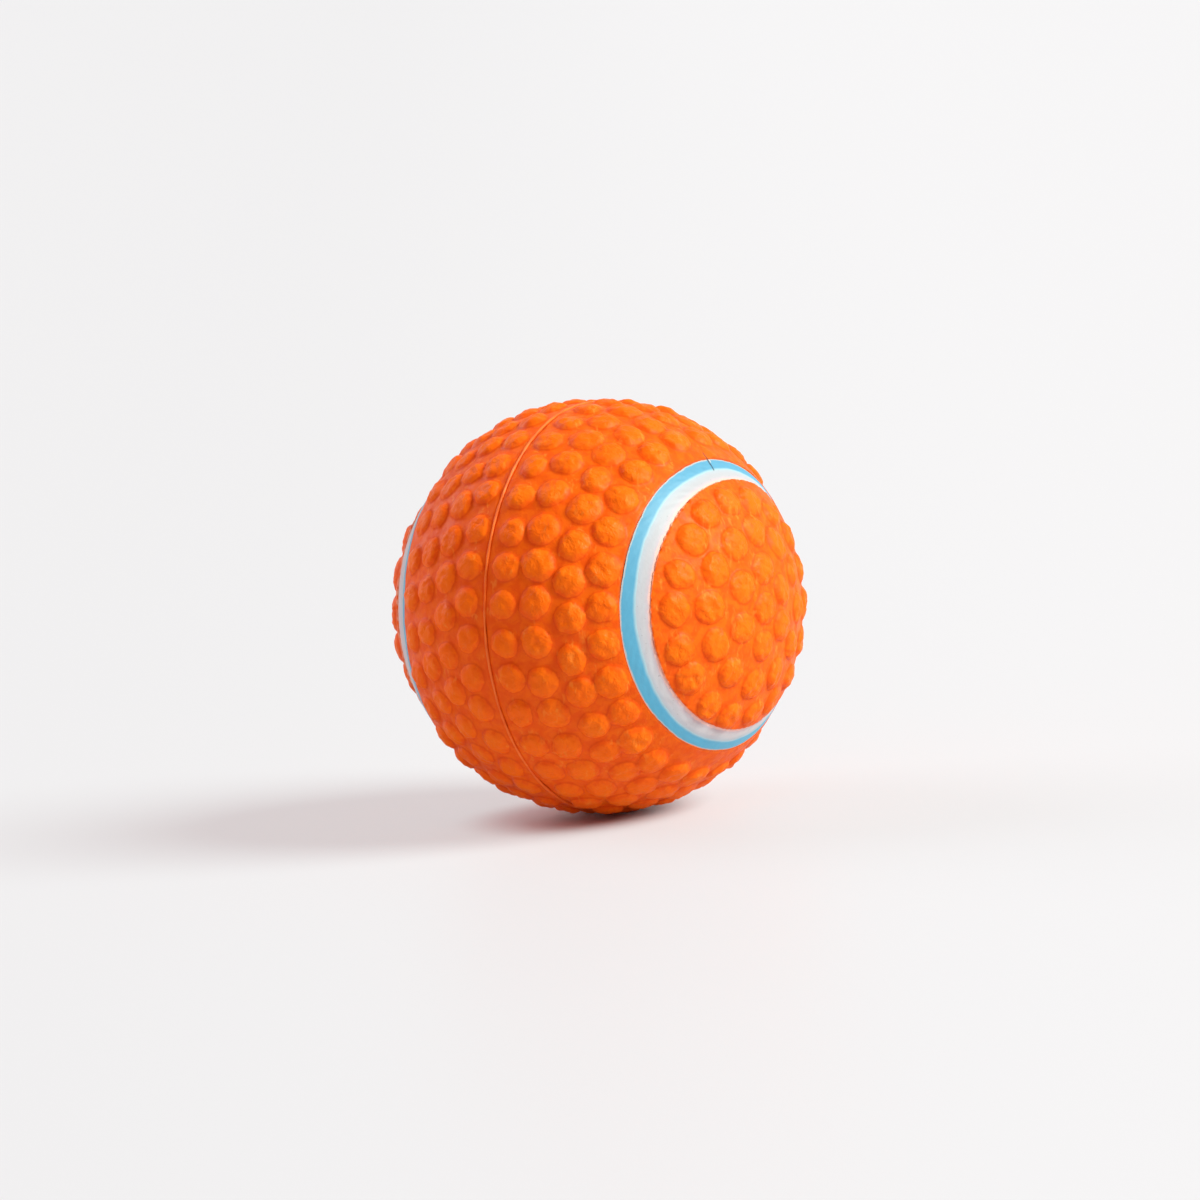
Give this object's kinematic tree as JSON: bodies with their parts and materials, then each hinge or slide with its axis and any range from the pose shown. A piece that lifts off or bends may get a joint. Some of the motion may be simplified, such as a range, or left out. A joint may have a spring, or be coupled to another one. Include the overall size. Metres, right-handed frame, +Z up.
{
  "type": "dog chew ball",
  "caption": "Round rubber chew ball with rows of nubs, a raised seam and a blue and white band round each cap, filled with foam around a bellows squeaker.",
  "frame": {"origin": "centre of the ball", "axes": "+X along the ball's axis, square to the parting plane, out through the right cap; +Z up, along the squeaker from its neck to its crown; the front of the ball, towards which both caps lean a little, faces -Y"},
  "size_m": [0.065, 0.0646, 0.0644],
  "materials": {
    "orange_rubber": "satin moulded rubber, soft highlights",
    "orange_bond": "satin cured bond line",
    "blue_paint": "satin flexible paint",
    "white_paint": "satin flexible paint",
    "foam": "open-cell foam",
    "bellows_plastic": "thin blow-moulded plastic",
    "reed_plastic": "moulded plastic",
    "reed_film": "glossy plastic film"
  },
  "bodies": {
    "shell": {"right_skin": "orange_rubber", "left_skin": "orange_rubber", "seam_bead": "orange_bond", "right_blue_band": "blue_paint", "left_blue_band": "blue_paint", "right_white_band": "white_paint", "left_white_band": "white_paint", "right_foam": "foam", "left_foam": "foam", "squeaker_neck": "bellows_plastic", "squeaker_bellows": "bellows_plastic", "reed_holder": "reed_plastic", "reed_wedge": "reed_plastic"},
    "crown": {"squeaker_crown": "bellows_plastic"},
    "reed": {"squeaker_reed": "reed_film"}
  },
  "joints": [
    {"name": "squeaker_press", "type": "slide", "parent": "shell", "child": "crown", "axis": [0, 0, -1], "range_m": [0, 0.007], "stiffness_N_per_m": 500, "deforming": ["squeaker_bellows"]},
    {"name": "reed_flex", "type": "hinge", "parent": "shell", "child": "reed", "pos_m": [0.00045, 0, -0.0128], "axis": [0, 1, 0], "range_deg": [-1.5, 5], "stiffness_Nm_per_rad": 0.0005}
  ]
}
